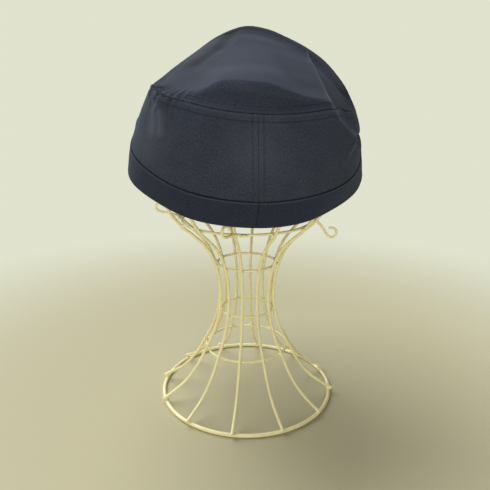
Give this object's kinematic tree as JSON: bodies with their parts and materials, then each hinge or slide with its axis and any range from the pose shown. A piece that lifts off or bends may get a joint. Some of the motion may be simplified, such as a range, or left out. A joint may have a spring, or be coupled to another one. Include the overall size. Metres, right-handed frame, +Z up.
{
  "type": "patrol cap on wire hat stand",
  "caption": "Soft navy patrol cap with a round sunken top panel, side wall, headband and peak, tipped back on a cream wire hat stand with a waisted stem and small hooks.",
  "frame": {"origin": "middle of the outer box's footprint, on the surface that the stand rests on", "axes": "+Z up, -Y where the peak points, +X towards the left side of the cap as it is worn"},
  "size_m": [0.1798, 0.2532, 0.2983],
  "materials": {
    "navy_twill": "matt cotton twill",
    "band_twill": "matt cotton twill, doubled",
    "cream_coating": "smooth plastic coating on steel wire"
  },
  "bodies": {
    "root": {"crown_top": "navy_twill", "crown_side": "navy_twill", "band": "band_twill", "peak": "navy_twill", "base_ring": "cream_coating", "lower_ring": "cream_coating", "waist_ring": "cream_coating", "neck_ring": "cream_coating", "flare_ring": "cream_coating", "form_ring": "cream_coating", "top_ring": "cream_coating", "rib_01": "cream_coating", "rib_02": "cream_coating", "rib_03": "cream_coating", "rib_04": "cream_coating", "rib_05": "cream_coating", "rib_06": "cream_coating", "rib_07": "cream_coating", "rib_08": "cream_coating", "rib_09": "cream_coating", "rib_10": "cream_coating", "rib_11": "cream_coating", "rib_12": "cream_coating", "hook_1": "cream_coating", "hook_2": "cream_coating", "hook_3": "cream_coating", "hook_4": "cream_coating"}
  },
  "joints": []
}
